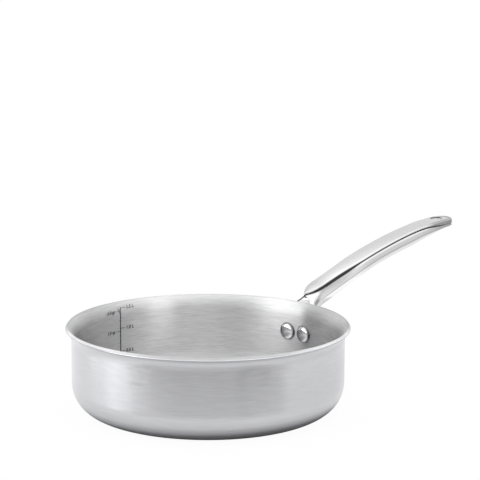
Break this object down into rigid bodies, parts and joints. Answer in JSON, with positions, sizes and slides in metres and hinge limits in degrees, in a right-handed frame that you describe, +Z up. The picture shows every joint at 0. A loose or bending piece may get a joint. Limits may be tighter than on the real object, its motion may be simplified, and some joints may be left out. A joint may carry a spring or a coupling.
{
  "type": "saute pan",
  "caption": "Straight-sided round saute pan of bonded steel and aluminium, with a flared lip and a long cast stick handle riveted to the wall.",
  "frame": {"origin": "middle of the pan's flat underside, which rests on the surface", "axes": "+Z up, +X along the handle, away from the pan"},
  "size_m": [0.3934, 0.2098, 0.1087],
  "materials": {
    "cooking_surface": "stainless steel with fine brush lines round the wall and circles on the floor",
    "core_aluminium": "bare aluminium, seen only at the rim's cut edge",
    "outer_steel": "stainless steel with fine brush lines round the wall",
    "cast_steel": "cast stainless steel, satin polished",
    "rivet_steel": "polished stainless steel"
  },
  "bodies": {
    "root": {"inner_lining": "cooking_surface", "aluminium_core": "core_aluminium", "outer_skin": "outer_steel", "handle": "cast_steel", "rivet_left": "rivet_steel", "rivet_right": "rivet_steel"}
  },
  "joints": []
}
